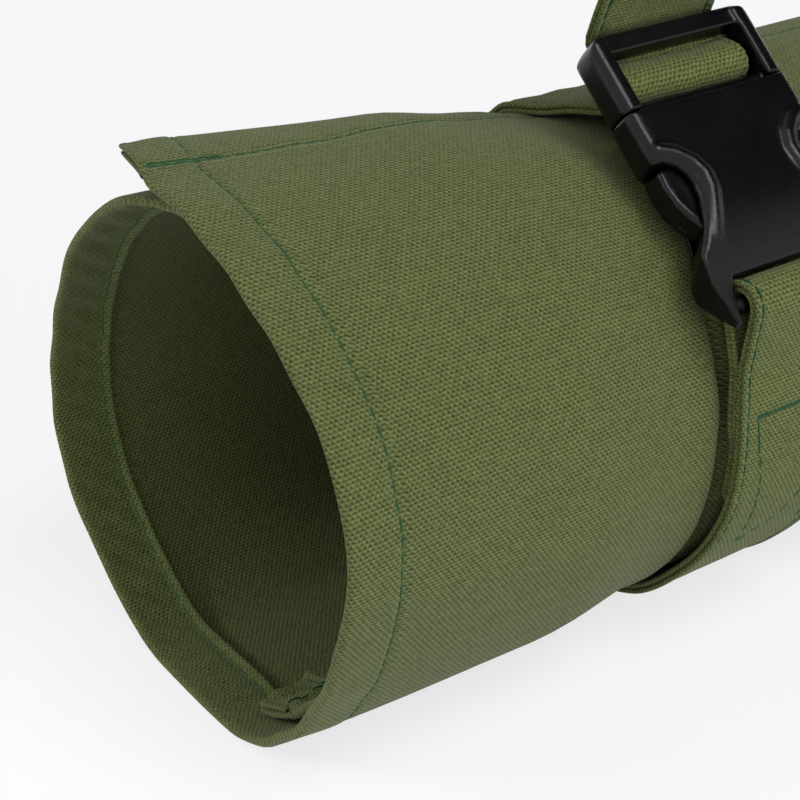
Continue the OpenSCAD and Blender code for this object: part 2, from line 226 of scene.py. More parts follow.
def plasticMaterial():
    look = plasticLook
    material, tree, shader = newMaterial("blackPlastic", {"Specular IOR Level": 0.28})
    place = addNode(tree, "ShaderNodeTexCoord").outputs["Object"]
    grain = noise(tree, place, look["grain"], 3.0, 0.6)["Fac"]
    haze = noise(tree, place, look["haze"], 3.0)["Fac"]
    rough = calc(tree, "MULTIPLY_ADD", haze, look["hazeRoughness"], look["leastRoughness"])
    tree.links.new(rough, shader.inputs["Roughness"])
    colourAndBump(tree, shader, look, haze, grain)
    return material


canvas, strapCanvas = (canvasMaterial(name) for name in clothColours)
thread = threadMaterial()
plastic = plasticMaterial()
print("materials made")

# rolled sheet: the same winding as the CAD, with the rim's own waves and hems sewn in
rollShape = {
    "half": 150.0, "radius": 44.0, "turnPitch": 2.4, "wrapDeg": 545.0, "flapDeg": 70.0, "axisZ": 39.6667,
    "secondTurnDeg": 380.0, "nearSag": 1.2, "sagDeg": 222.0, "sagRunDeg": 31.0, "swell": 0.22, "ripple": 0.16,
    "flapLift": 5.2, "liftRun": 80.0, "liftDeg": 34.0, "cornerDroop": 0.1, "droopRun": 2.2,
    "cornerSkew": 3.4, "skewRun": 40.0, "skewDeg": 16.0,  # outer end is not quite square at the mouth
    "mouthWave": 0.35, "mouthWaveRun": 12.0,
    # inner turn lies deeper, and its end deeper still, curled up
    "tuck": 2.6, "tuckDeg": 360.0, "tuckRunDeg": 20.0,
    "setBack": 2.4, "setBackDeg": 430.0, "setBackRun": 60.0, "innerRise": 0.3, "innerRiseDeg": 490.0,
    "innerShortDeg": 5.0, "shortFromDeg": 470.0, "shortRun": 70.0,
    "strapAt": 65.0, "strapHalf": 12.5, "cinch": 2.0, "cinchHalf": 13.5, "cinchRun": 26.0, "strapRise": 1.85,
    "floorSoft": 1.6,
    # how the cloth closes in on a strap, and where it sinks in: start, its run, end and its run in degrees
    "gather": 0.3, "gatherRun": 5.0, "gatherFade": 9.0,
    "crease": 3.3, "creaseIn": 1.2, "creaseHalf": 0.95, "fullness": 0.6, "fullnessOut": 2.2,
    "creaseDegs": (140, 25, 262, 20),
    "topPuff": 0.8, "puffOut": 8.0, "puffHalf": 5.0, "puffDegs": (62, 14, 112, 16),
    "topSink": 1.6, "sinkDegs": (20, 25, 80, 30),
}
perDeg = math.radians(1) * rollShape["radius"]  # cloth in one degree of the roll
rimWaves = {  # cosine and sine share of each wave round the rim, and how soon they fade along the roll
    "fade": 26.0,
    "mouth": ((-1.4, 1.4), (-0.1, -1.1), (-0.2, 0.2), (0.8, -0.7), (0.1, 0.1), (0.1, -0.2)),
    "foot": ((0.5, -0.7), (-0.4, 0.5), (0.35, 0.2), (-0.3, 0.25)),
}
hem = {
    "canvas": 0.9, "fold": 0.8, "edge": 10.8, "stitch": 9.2, "groove": 0.26, "grooveWidth": 0.6, "puff": 0.16,
    "pucker": 0.2, "puckerIn": 1.5, "puckerHalf": 3.6, "bead": 1.2, "slot": 0.5, "sewnIn": 0.3,
    "slant": 0.55, "slantPitch": 0.95, "slantAt": 4.8, "slantHalf": 3.0, "ripple": 0.24, "rippleFade": 7.0,
    "freeDeg": 183.0, "freeRunDeg": 8.0, "openEnd": 1.3, "openGap": 0.5,
}


def drawnIn(x):
    s = rollShape
    return 1 - smooth((np.abs(np.abs(x) - s["strapAt"]) - s["cinchHalf"]) / s["cinchRun"])


def onTop(deg):
    return between(deg, *rollShape["sinkDegs"])


def waveSum(shares, around):
    return sum(c * np.cos((k + 1) * around) + s * np.sin((k + 1) * around) for k, (c, s) in enumerate(shares))


def edgeGaps(x, turn):  # distance from the sheet's mouth or foot edge, its flap edge and its inner edge
    s = rollShape
    rim = s["half"] - np.abs(x)
    flap = turn * perDeg
    inner = np.radians(s["wrapDeg"] - turn) * (s["radius"] - s["turnPitch"] * 1.5)
    return rim, flap, inner


def besideStrap(x, place, around, pulled):  # gathers, crease and fullness of the cloth next to a strap
    s = rollShape
    away = np.abs(np.abs(x) - s["strapAt"]) - s["strapHalf"]
    gathers = np.sin(11 * around + 1.6 * np.sin(2 * around + 0.4))
    gathers = gathers * smooth(away / s["gatherRun"]) * np.exp(-np.maximum(away, 0) / s["gatherFade"])
    uneven = 0.25 * np.sin(place * 0.16) + 0.15 * np.sin(place * 0.37 + 1)
    creased = s["fullness"] * hump(away - s["fullnessOut"], s["fullnessOut"])
    creased = creased - s["crease"] * hump(away + s["creaseIn"] + uneven, s["creaseHalf"])
    puffed = s["topPuff"] * hump(away - s["puffOut"], s["puffHalf"]) * between(place, *s["puffDegs"])
    sunk = s["topSink"] * pulled * onTop(place)
    return s["gather"] * gathers + creased * between(place, *s["creaseDegs"]) + puffed - sunk


def sheetRadius(x, turn):
    s = rollShape
    pulled = drawnIn(x)
    place = (s["flapDeg"] + turn) % 360
    around = np.radians(place)
    fromMouth = x + s["half"]
    slack = s["nearSag"] * hump(place - s["sagDeg"], s["sagRunDeg"])
    slack = slack + waveSum(rimWaves["mouth"], around) * np.exp(-fromMouth / rimWaves["fade"])
    slack = slack + waveSum(rimWaves["foot"], around) * np.exp((x - s["half"]) / rimWaves["fade"])
    slack = slack + s["swell"] * np.sin(x / 21 + 1.3) * np.sin(3 * around + 0.5)
    slack = slack + s["ripple"] * np.sin(x / 12 - 0.7 + 2 * around)
    slack = slack - s["innerRise"] * smooth((turn - s["innerRiseDeg"]) / (s["wrapDeg"] - s["innerRiseDeg"]))
    r = s["radius"] - s["cinch"] * pulled - s["turnPitch"] * turn / 360 + slack * (1 - pulled)
    r = r + besideStrap(x, place, around, pulled)
    rise = s["flapLift"] * (1 - smooth(fromMouth / s["liftRun"]))
    rise = rise - s["cornerDroop"] * hump(fromMouth, s["droopRun"])
    r = r + rise * fading(turn / s["liftDeg"]) ** 2
    rim = np.exp(-(s["half"] - np.abs(x)) / hem["rippleFade"]) * smooth(turn / 25)  # the rim's short ripples
    r = r + hem["ripple"] * np.sin(17 * around + 2.2 * np.sin(3 * around)) * rim
    return r + hemRelief(x, turn, around)


def hemRelief(x, turn, around):
    h = hem
    rim, flap, inner = edgeGaps(x, turn)
    relief = 0
    for gap, along in ((rim, around * rollShape["radius"]), (flap, x), (inner, x)):
        waves = np.sin(along / 1.9 + 0.9 * np.sin(along / 7.3)) * np.sin(along / 12.7 + 1.1)
        relief = relief - h["groove"] * hump(gap - h["stitch"], h["grooveWidth"])
        relief = relief + h["puff"] * np.sin(math.pi * np.clip(gap / h["stitch"], 0, 1))
        relief = relief + h["pucker"] * waves * hump(gap - h["stitch"] + h["puckerIn"], h["puckerHalf"])
    doubled = (1 - smooth((rim - 8) / 4)) * (1 - smooth((flap - 8) / 4))  # two hems over each other
    return relief + 0.25 * h["fold"] * doubled


def folded(gap):
    return 1 - smooth((gap - hem["edge"] + 0.45) / 0.5)


def hemDepth(x, turn):  # thickness of the cloth: single, or with one or two folds of the hems
    h = hem
    rim, flap, inner = edgeGaps(x, turn)
    nearest = least(rim, flap, inner)
    folds = folded(nearest) + folded(rim) * folded(np.minimum(flap, inner))
    openEnds = (1 - smooth((rim - h["openEnd"]) / 0.3)) * np.maximum(folded(flap), folded(inner)) * (x < 0)
    folds = folds * (1 - openEnds)
    around = (rollShape["flapDeg"] + turn) * perDeg
    slant = np.sin((around + 0.9 * rim) / h["slantPitch"] + 1.6 * np.sin(around / 11))
    slant = slant * hump(rim - h["slantAt"], h["slantHalf"]) * (rim < 12)
    flare = np.sin(math.pi / 2 * np.clip((rim - h["stitch"] + 0.1) / (h["edge"] - h["stitch"] - 0.4), 0, 1))
    # where no inner turn lies on it, the turned edge stands up
    free = smooth((turn - h["freeDeg"]) / h["freeRunDeg"])
    lip = h["bead"] * flare * folded(rim) * free - h["slot"] * hump(nearest - h["edge"] - 0.3, 0.3)
    lip = lip - h["sewnIn"] * hump(nearest - h["stitch"] + 0.2, 0.45)
    return h["canvas"] + h["fold"] * folds + lip + h["slant"] * slant * free


def sheetPoint(x, turn, depth):
    s = rollShape
    x, turn, depth = np.broadcast_arrays(*(np.asarray(v, float) for v in (x, turn, depth)))
    fromMouth = x + s["half"]
    r = sheetRadius(x, turn) - depth
    short = smooth((turn - s["shortFromDeg"]) / (s["wrapDeg"] - s["shortFromDeg"]))
    short = short * fading(fromMouth / s["shortRun"])
    a = np.radians(s["flapDeg"] + turn - s["innerShortDeg"] * short)
    ground = np.where(turn > s["secondTurnDeg"], s["turnPitch"], 0) + s["strapRise"] * drawnIn(x) + depth
    over = s["axisZ"] + r * np.sin(a) - ground
    k = s["floorSoft"]  # the roll flattens softly where it rests
    over = np.where(over > k, over, np.where(over < -k, 0, (over + k) ** 2 / (4 * k)))
    deeper = s["setBack"] * smooth((turn - s["setBackDeg"]) / (s["wrapDeg"] - s["setBackDeg"]))
    deeper = deeper + s["tuck"] * smooth((turn - s["tuckDeg"]) / s["tuckRunDeg"])
    wave = np.sin(5 * a + 1) * np.exp(-fromMouth / s["mouthWaveRun"]) * smooth((turn - s["skewDeg"]) / 20)
    place = x + s["cornerSkew"] * fading(turn / s["skewDeg"]) * fading(fromMouth / s["skewRun"])
    place = place + deeper * fading(fromMouth / s["setBackRun"]) + s["mouthWave"] * wave
    return np.stack([place, r * np.cos(a), ground + over], -1)


def roundedSteps(start, end, step):  # stations with close spacing at both edges, where the hem is folded
    close = np.array([0, 0.05, 0.18, 0.42, 0.85, 1.5, 2.4, 3.6, 4.8, 6.0, 7.2, 8.1, 8.6, 9.0, 9.3, 9.6,
                      9.95, 10.3, 10.45, 10.6, 10.75, 10.9, 11.2, 11.8, 13])
    first, last = start + close[-1], end - close[-1]
    middle = np.linspace(first, last, max(int(round((last - first) / step)), 2) + 1)[1:-1]
    return np.concatenate([start + close, middle, end - close[::-1]])


def clothMesh(name, outer, inner, cloth, material):
    # two faces of a cloth that share their edge points
    nx, nt = outer.shape[:2]
    rim = np.zeros((nx, nt), bool)
    rim[[0, -1], :] = True
    rim[:, [0, -1]] = True
    outerIndex = np.arange(nx * nt).reshape(nx, nt)
    innerIndex = outerIndex.copy()
    innerIndex[~rim] = nx * nt + np.arange((~rim).sum())
    points = np.concatenate([outer.reshape(-1, 3), inner[~rim]])
    places = np.concatenate([cloth.reshape(-1, 2), cloth[~rim]])

    def quads(index):
        return np.stack([index[:-1, :-1], index[:-1, 1:], index[1:, 1:], index[1:, :-1]], -1).reshape(-1, 4)
    faces = np.concatenate([quads(outerIndex), quads(innerIndex)[:, ::-1]]).tolist()
    return makePiece(name, points, faces, material, places)


def edgeRound(gap, thick):  # how full the cloth is near its edge, as a half circle
    near = np.clip(gap / (thick / 2), 0, 1)
    return np.sqrt(np.maximum(1 - (1 - near) ** 2, 0))


def edgeWrap(gap, thick):  # cloth used up in going round its edge, so that the weave keeps its size there
    near = np.clip(gap / (thick / 2), 0, 1)
    return thick / 2 * (np.arccos(1 - near) - near)


def sheetStations():  # along the roll, closer together at the straps' edges
    s = rollShape
    xs = roundedSteps(-s["half"], s["half"], 3.3)
    beside = np.array([9.4, 10.1, 10.6, 11.0, 11.4, 11.8, 12.2, 12.7, 13.4, 14.3, 15.6])
    dense = [end * s["strapAt"] + side * beside for end in (-1, 1) for side in (-1, 1)]
    plain = np.abs(np.abs(np.abs(xs) - s["strapAt"]) - s["strapHalf"]) > 3.6
    return np.sort(np.concatenate([xs[plain]] + dense))


def rolledSheet():
    s = rollShape
    turns = roundedSteps(0, s["wrapDeg"] * perDeg, 1.9) / perDeg
    x, turn = np.meshgrid(sheetStations(), turns, indexing="ij")
    thick = hemDepth(x, turn)
    rim, flap, end = edgeGaps(x, turn)
    lost = thick / 2 * (1 - edgeRound(least(rim, flap, end), thick))
    outer = sheetPoint(x, turn, lost)
    inner = sheetPoint(x, turn, thick - lost)
    toFoot, toEnd = (x + s["half"]) / (2 * s["half"]), turn / s["wrapDeg"]
    along = x + edgeWrap(x + s["half"], thick) * (1 - toFoot) - edgeWrap(s["half"] - x, thick) * toFoot
    around = turn * perDeg + edgeWrap(flap, thick) * (1 - toEnd) - edgeWrap(end, thick) * toEnd
    return clothMesh("canvasSheet", outer, inner, np.stack([around, along], -1), canvas)


def hemFold(name, atDeg, way):  # layer turned in along the outer or inner end, which shows at the mouth
    h = hem
    close = np.array([0, 0.04, 0.14, 0.3, 0.6])
    xs = -rollShape["half"] + 0.05 + np.concatenate([close, np.linspace(1.1, 9.0, 8)])
    across = np.concatenate([0.15 + close, np.linspace(1.3, 8.6, 12), 9.5 - close[::-1]])
    x, gap = np.meshgrid(xs, across if way > 0 else across[::-1], indexing="ij")
    turn = atDeg + way * gap / perDeg
    edge = least(x - xs[0], xs[-1] - x, gap - across[0], across[-1] - gap)
    lost = h["fold"] / 2 * (1 - edgeRound(edge, h["fold"]))
    apart = np.sin(math.pi * np.clip(gap / h["stitch"], 0, 1)) ** 0.6  # closed at the fold and the stitches
    top = h["canvas"] + h["openGap"] * apart
    outer = sheetPoint(x, turn, top + lost)
    inner = sheetPoint(x, turn, top + h["fold"] - lost)
    cloth = np.stack([turn * perDeg, x + edgeWrap(x - xs[0], h["fold"])], -1)
    return clothMesh(name, outer, inner, cloth, canvas)


sheet = rolledSheet()
folds = [hemFold("flapFold", 0, 1), hemFold("innerFold", rollShape["wrapDeg"], -1)]
print("sheet rolled,", len(sheet.data.polygons), "faces")

# pocket panel, sewn inside the sheet towards the foot
pockets = {
    "from": 0.4, "to": 140.4, "startDeg": 143.3, "endDeg": 516.3, "marginDeg": 2.0, "gap": 0.2, "thick": 0.8,
    "seams": 8, "billow": 0.35, "billowRun": 8.0, "billowFrom": 30.0, "seamSunk": 0.12, "seamHalf": 1.2,
}


def pocketSpan(count):
    p = pockets
    return np.linspace(p["startDeg"] + p["marginDeg"], p["endDeg"] - p["marginDeg"], count)


def pocketPanel():
    p = pockets
    xs = np.concatenate([p["from"] + np.array([0, 0.05, 0.2, 0.5, 1.2, 2.4, 4, 6]),
                         np.linspace(p["from"] + 8.5, p["to"] - 6, 52),
                         p["to"] - np.array([3.5, 1.6, 0.6, 0.2, 0.05, 0])])
    close = np.array([0, 0.05, 0.2, 0.5, 1.1]) / perDeg
    middle = pocketSpan(24 * p["seams"] + 1)
    turns = np.concatenate([p["startDeg"] + close, middle, p["endDeg"] - close[::-1]])
    x, turn = np.meshgrid(xs, turns, indexing="ij")
    gap = least(x - p["from"], p["to"] - x, (turn - p["startDeg"]) * perDeg, (p["endDeg"] - turn) * perDeg)
    toSeam = np.min(np.abs(turn[..., None] - pocketSpan(p["seams"] + 1)), -1) * perDeg
    depth = hem["canvas"] + p["gap"] - p["seamSunk"] * hump(toSeam, p["seamHalf"])
    billow = np.minimum(toSeam / p["billowRun"], 1) ** 2 * smooth((p["to"] - x) / p["billowFrom"])
    depth = depth + p["billow"] * billow
    lost = p["thick"] / 2 * (1 - edgeRound(gap, p["thick"]))
    outer = sheetPoint(x, turn, depth + lost)
    inner = sheetPoint(x, turn, depth + p["thick"] - lost)
    return clothMesh("pocketPanel", outer, inner, np.stack([turn * perDeg, x], -1), canvas)


pocket = pocketPanel()
print("pockets made")

# buckle's own frame: X across, Y from the receiver's mouth to the insert, Z outwards
buckle = {
    "deg": 131.0, "footY": -16.4, "seatR": 42.5, "thick": 8.8, "halfWidth": 16.9, "cavityHalf": 14.2,
    "slotHalf": 13.3, "wallY": -22.5, "plateEnd": -28.5, "plate": 1.6, "innerZ": 2.0, "barR": 1.5,
    "loopBar": (-32.5, 4.4), "lockBar": (5.4, 4.4), "outerBar": (10.3, 13.7), "outerBarZ": (4.8, 8.2),
    "railGap": 0.35, "sideRound": 2.2, "underRound": 5.5, "voxel": 0.25, "far": 60.0,
    # receiver: outer face that falls away towards the loop bar, finger opening with its ring, and a leg
    "bendFrom": -14.0, "bendRun": 14.5, "bend": 0.0105, "slope": 0.22, "legFrom": -28.0, "legSlope": 0.42,
    "lean": 0.55, "leanZ": 6.5, "leanDeep": 6.0, "leanFrom": -12.0, "leanRun": 8.0,
    "strapRoom": (12.9, -25.0, 4.6), "loopBarHalf": 12.7,
    "opening": ((19.5, -8.4), (16.0, -8.6), (14.4, -9.1), (12.9, -10.0), (11.9, -11.5), (11.6, -13.4),
                (11.9, -15.4), (12.6, -17.4), (13.4, -19.4), (14.3, -21.0), (15.2, -22.4), (16.1, -23.4),
                (17.4, -24.2), (19.5, -24.2)),
    "ring": ((14.7, -6.8), (12.2, -8.1), (10.1, -10.1), (9.1, -12.5), (9.4, -15.0), (10.4, -17.3),
             (11.5, -19.8), (12.4, -22.0), (13.6, -24.4)),
    "ringR": (1.2, 1.5, 1.6, 1.6, 1.55, 1.45, 1.3, 1.05, 0.6), "ringSunk": 0.9,
    "leg": ((16.9, -26.5), (16.9, -28.0), (16.3, -29.9), (15.6, -31.9), (14.9, -33.9), (14.3, -35.5),
            (13.8, -35.3), (13.5, -33.2), (13.1, -30.6), (12.6, -28.5)),
    # insert: rails with a rounded corner, an underside that rises at its end, and the guide
    "insertLow": 0.8, "insertIn": 0.1, "cornerR": 4.0, "riseRun": 9.0, "rise": 5.2, "lockBarHalf": 14.0,
    "guide": (3.5, -15.5),
    # right prong: round root, arm, and a barb with two finger ridges
    "root": (9.8, -3.85), "rootR": 1.9,
    "prong": ((8.1, -3.85), (11.5, -3.85), (11.5, -9.3), (15.1, -9.3), (15.6, -10.0), (15.8, -12.6),
              (15.3, -15.4), (14.2, -17.8), (12.8, -19.9), (11.6, -21.4), (10.3, -22.1), (8.9, -21.7),
              (8.1, -20.4)),
    "ridge": ((14.7, -10.0), (15.0, -12.4), (14.6, -15.1), (13.6, -17.4), (12.2, -19.6)),
    "ridgeR": (0.7, 0.8, 0.9, 0.9, 0.6), "ridgeIn": 0.9,
}


def onRoll(y, z):
    a = math.radians(buckle["deg"] - 90)
    along, out = np.asarray(y, float) - buckle["footY"], buckle["seatR"] + np.asarray(z, float)
    return np.stack([along * math.cos(a) - out * math.sin(a),
                     rollShape["axisZ"] + along * math.sin(a) + out * math.cos(a)], -1)


# straps: routes drawn across the roll, as in the CAD
strap = {
    "width": 25.0, "thick": 1.5, "gap": 0.15, "floorGap": 0.2, "wrapR": 2.4, "sewnPastDeg": 1.5,
    "stackRunDeg": 16.0,
    # the sewn layers hold the belt a little off the roll
    "liftRunDeg": 55.0, "settleRunDeg": 14.0, "settle": 0.35, "settleLongDeg": 40.0, "standOff": 1.3,
    "standFromDeg": 10.0, "standRunDeg": 35.0, "underShare": 0.94, "underEnd": 9.0, "underRun": 5.0,
    "loopR": 3.0, "partAt": 0.5, "tailShift": -1.4, "shiftRun": 12.0,
    "tailZ": 3.9, "exitY": 13.0, "exitRun": 0.35, "tailLength": 64.0, "riseDeg": 75.0, "fallDeg": 106.0,
    "rise": (0.0, 0.03), "fall": (0.14, 0.7),  # share of the tail where it starts, and how long it takes
    "edgeStitch": 1.5, "seamSunk": 0.18, "seamHalf": 0.5, "lobes": (0.5, 0.45), "edgeGroove": 0.72,
    "pressedEnd": 0.35, "ripple": {"belt": 0.05, "top": 0.3, "tail": 0.25},
}


def polar(r, deg):
    a = np.radians(deg)
    return np.stack([r * np.cos(a), rollShape["axisZ"] + r * np.sin(a)], -1)


def lyingR(deg):
    s = rollShape
    turn = np.where(deg > 360 + s["flapDeg"], deg - 360 - s["flapDeg"], deg - s["flapDeg"])
    lying = s["radius"] - s["cinch"] - s["turnPitch"] * turn / 360 - s["topSink"] * onTop(deg % 360)
    return lying + strap["gap"] + strap["thick"] / 2


def meetDeg(point, centre, r, side):  # where a line from a point touches a circle
    d = np.asarray(point) - centre
    return math.degrees(math.atan2(d[1], d[0])) + side * math.degrees(math.acos(r / np.linalg.norm(d)))


def arc(centre, r, start, end, steps=24):
    a = np.radians(np.linspace(start, end, steps))
    return centre + r * np.stack([np.cos(a), np.sin(a)], -1)


loopBar = onRoll(*buckle["loopBar"])
lockBar = onRoll(*buckle["lockBar"])
rollAxis = np.array([0, rollShape["axisZ"]])
touchDeg = meetDeg(loopBar, rollAxis, float(lyingR(180.0)) + strap["wrapR"], 1)
sewnDeg = touchDeg + strap["sewnPastDeg"]
stackEndDeg = sewnDeg + strap["stackRunDeg"]
outerTurnR, innerTurnR = float(lyingR(rollShape["flapDeg"])), float(lyingR(rollShape["flapDeg"] + 360))
topDeg = rollShape["flapDeg"] + 360 - math.degrees(math.acos(innerTurnR / outerTurnR))


def beltRoute():  # under layer up to the receiver's bar, round it, then down and under the roll
    s = strap
    layer = s["thick"] + s["gap"]
    under = np.linspace(stackEndDeg - s["sewnPastDeg"], touchDeg, 20)
    underLayer = polar(lyingR(under) + s["standOff"], under)
    down = np.linspace(sewnDeg, topDeg, 150)
    stacked = layer * (1 - smooth((down - sewnDeg - s["liftRunDeg"]) / s["settleRunDeg"]))
    stacked = stacked * (1 - s["settle"] * smooth((down - stackEndDeg) / s["settleLongDeg"]))
    stacked = stacked + s["standOff"] * (1 - smooth((down - sewnDeg - s["standFromDeg"]) / s["standRunDeg"]))
    belt = polar(lyingR(down) + stacked, down)
    belt[:, 1] = np.maximum(belt[:, 1], s["floorGap"] + s["thick"] / 2)
    way = unit(loopBar - underLayer[-1])
    out = np.array([-way[1], way[0]])
    out = out if np.dot(out, underLayer[-1] - rollAxis) > 0 else -out
    middle = underLayer[-1] + out * layer / 2
    parting = middle + s["partAt"] * (loopBar - middle)  # on the way to the bar the two layers part
    inside, outside = parting - out * layer / 2, parting + out * layer / 2
    bend = arc(loopBar, s["loopR"], meetDeg(inside, loopBar, s["loopR"], 1),
               360 + meetDeg(outside, loopBar, s["loopR"], -1))
    return np.concatenate([underLayer, [inside], bend, [outside], belt])


def topRoute():  # over the outer end's edge, on to the insert, round its lock bar and back to the outer bar
    w = strap["wrapR"]
    offDeg = meetDeg(lockBar, rollAxis, outerTurnR + w, -1)
    lying = np.linspace(rollShape["flapDeg"], offDeg, 8)
    overEdge = polar(lyingR(lying), lying)
    tailOut = onRoll(buckle["outerBar"][0] - 0.9, strap["tailZ"])
    bend = arc(lockBar, w, meetDeg(overEdge[-1], lockBar, w, -1), meetDeg(tailOut, lockBar, w, 1) - 360)
    return np.concatenate([[polar(lyingR(topDeg), topDeg)], overEdge, bend, [tailOut]])


def tailRoute():  # free end: rises past the outer bar, then leans over under its own weight
    s = strap
    steps = 48
    t = (np.arange(steps) + 0.5) / steps
    risen, fallen = (smooth((t - start) / run) for start, run in (s["rise"], s["fall"]))
    a = np.radians(s["riseDeg"] * risen - s["fallDeg"] * fallen)
    way = np.cumsum(np.stack([np.cos(a), np.sin(a)], -1), 0) * s["tailLength"] / steps
    flat = [(y, s["tailZ"]) for y in (buckle["outerBar"][0] - 0.7, s["exitY"], s["exitY"] + s["exitRun"])]
    local = np.concatenate([flat, flat[-1] + way])
    return onRoll(local[:, 0], local[:, 1])


def evenRoute(route, step):
    route = route[np.concatenate([[True], np.linalg.norm(np.diff(route, axis=0), axis=1) > 0.02])]
    run = np.concatenate([[0], np.cumsum(np.linalg.norm(np.diff(route, axis=0), axis=1))])
    at = np.linspace(0, run[-1], max(int(run[-1] / step), 4) + 1)

    def soft(values):  # three samples close together take the sharpness out of a corner
        return sum(np.interp(np.clip(at + d, 0, run[-1]), run, values) for d in (-0.8, 0, 0.8)) / 3
    even = np.stack([soft(route[:, 0]), soft(route[:, 1])], -1)
    even[[0, -1]] = route[[0, -1]]
    return even, at


def routeSides(route):  # direction along the route, and the side that faces away from the roll at its start
    along = unit(np.gradient(route, axis=0))
    return along, np.stack([along[:, 1], -along[:, 0]], -1)


def strapSection():  # section across the strap: two folded layers that meet in a groove at each edge
    half = strap["width"] / 2
    seam = half - strap["edgeStitch"]
    across = np.array([0, 4, 7.5, 9.6, seam - 0.6, seam, seam + 0.45])
    face = strap["thick"] / 2 - strap["seamSunk"] * hump(across - seam, strap["seamHalf"])

    def lobe(size):
        turned = np.radians([-20, 10, 40, 70, 100, 130])
        return [(half - size + size * math.sin(a), size + size * math.cos(a)) for a in turned]
    upper = list(zip(across, face)) + lobe(strap["lobes"][0])
    lower = [(a, -b) for a, b in list(zip(across, face)) + lobe(strap["lobes"][1])]
    right = upper + [(half - strap["edgeGroove"], 0.0)] + lower[::-1]
    left = [(-a, b) for a, b in reversed(right[1:-1])]
    return np.array(right + left)


def tailDrift(run):  # the free tail lies a little to one side
    return strap["tailShift"] * smooth(run / strap["shiftRun"])


def strapMesh(name, part, x):
    s = strap
    section = strapSection()
    centre, run = evenRoute(routes[part], 1.2)
    out = routeSides(centre)[1]
    full = np.ones(len(run))
    full[0] = s["pressedEnd"] if part == "belt" else 1
    full[-1] = s["pressedEnd"] if part == "tail" else 1
    under = 1 - smooth((run - s["underEnd"]) / s["underRun"])
    narrow = 1 - (1 - s["underShare"]) * under * (part == "belt")
    shift = tailDrift(run) * (part == "tail")
    rings, cloth = [], []
    for k in range(len(run)):
        creased = np.sin(section[:, 0] / 2.3 + run[k] / 6) * np.sin(section[:, 0] / 5.1 - run[k] / 4 + x)
        b = section[:, 1] * full[k] + s["ripple"][part] * creased
        ring = centre[k] + out[k] * b[:, None]
        rings.append(np.column_stack([x + shift[k] + section[:, 0] * narrow[k], ring]))
        cloth.append(np.column_stack([np.full(len(section), run[k]), section[:, 0] + section[:, 1]]))
    n = len(section)
    index = np.arange(len(run) * n).reshape(-1, n)
    nextIndex = np.roll(index, -1, 1)
    faces = np.stack([index[:-1], nextIndex[:-1], nextIndex[1:], index[1:]], -1).reshape(-1, 4).tolist()
    faces += [index[0].tolist(), index[-1][::-1].tolist()]
    piece = makePiece(name, np.concatenate(rings), faces, strapCanvas, np.concatenate(cloth))
    faceOutwards(piece)
    return piece


ends = {"mouth": -rollShape["strapAt"], "foot": rollShape["strapAt"]}
routes = {"belt": beltRoute(), "top": topRoute(), "tail": tailRoute()}
straps = {(end, part): strapMesh(end + part.capitalize() + "Strap", part, x)
          for end, x in ends.items() for part in routes}
print("straps made")


# moulded buckle pieces, as distance fields that are meshed at one voxel size
def fieldGrid(low, high):
    steps = [np.arange(a, b + buckle["voxel"], buckle["voxel"], dtype=np.float32) for a, b in zip(low, high)]
    return steps[0][:, None, None], steps[1][None, :, None], steps[2][None, None, :]


def block(p, low, high, edge):
    q = [np.abs(p[i] - (low[i] + high[i]) / 2) - (high[i] - low[i]) / 2 + edge for i in range(3)]
    outside = np.sqrt(sum(np.maximum(v, 0) ** 2 for v in q))
    return outside + np.minimum(np.maximum(np.maximum(q[0], q[1]), q[2]), 0) - edge


def bead(p, path, radii):
    nearest = None
    for a, b, ra, rb in zip(path[:-1], path[1:], radii[:-1], radii[1:]):
        d = np.subtract(b, a)
        t = np.clip(sum((p[i] - a[i]) * d[i] for i in range(3)) / np.dot(d, d), 0, 1)
        gap = np.sqrt(sum((p[i] - a[i] - d[i] * t) ** 2 for i in range(3))) - (ra + (rb - ra) * t)
        nearest = gap if nearest is None else np.minimum(nearest, gap)
    return nearest


def crossBar(p, half, place):
    return bead(p, [(-half, *place), (half, *place)], [buckle["barR"]] * 2)


def outlineGap(x, y, corners):
    corners = np.asarray(corners, float)
    gap = np.full(np.broadcast(x, y).shape, 1e9)
    side = np.ones(gap.shape)
    for a, b in zip(corners, np.roll(corners, 1, 0)):
        e = b - a
        wx, wy = x - a[0], y - a[1]
        t = np.clip((wx * e[0] + wy * e[1]) / np.dot(e, e), 0, 1)
        gap = np.minimum(gap, (wx - e[0] * t) ** 2 + (wy - e[1] * t) ** 2)
        above, below, left = y >= a[1], y < b[1], e[0] * wy > e[1] * wx
        side = np.where((above & below & left) | (~above & ~below & ~left), -side, side)
    return side * np.sqrt(gap)


def prism(p, corners, zLow, zHigh, edge):
    flat = outlineGap(p[0], p[1], corners) + edge
    tall = np.abs(p[2] - (zLow + zHigh) / 2) - (zHigh - zLow) / 2 + edge
    return np.minimum(np.maximum(flat, tall), 0) + np.hypot(np.maximum(flat, 0), np.maximum(tall, 0)) - edge


def join(a, b, soft=0.0):
    if soft == 0:
        return np.minimum(a, b)
    h = np.clip(0.5 + 0.5 * (b - a) / soft, 0, 1)
    return b * (1 - h) + a * h - soft * h * (1 - h)


def trim(a, b, soft=0.0):  # the part of a that is inside b
    return -join(-a, -b, soft)


def cut(a, b, soft=0.0):
    return trim(a, -b, soft)


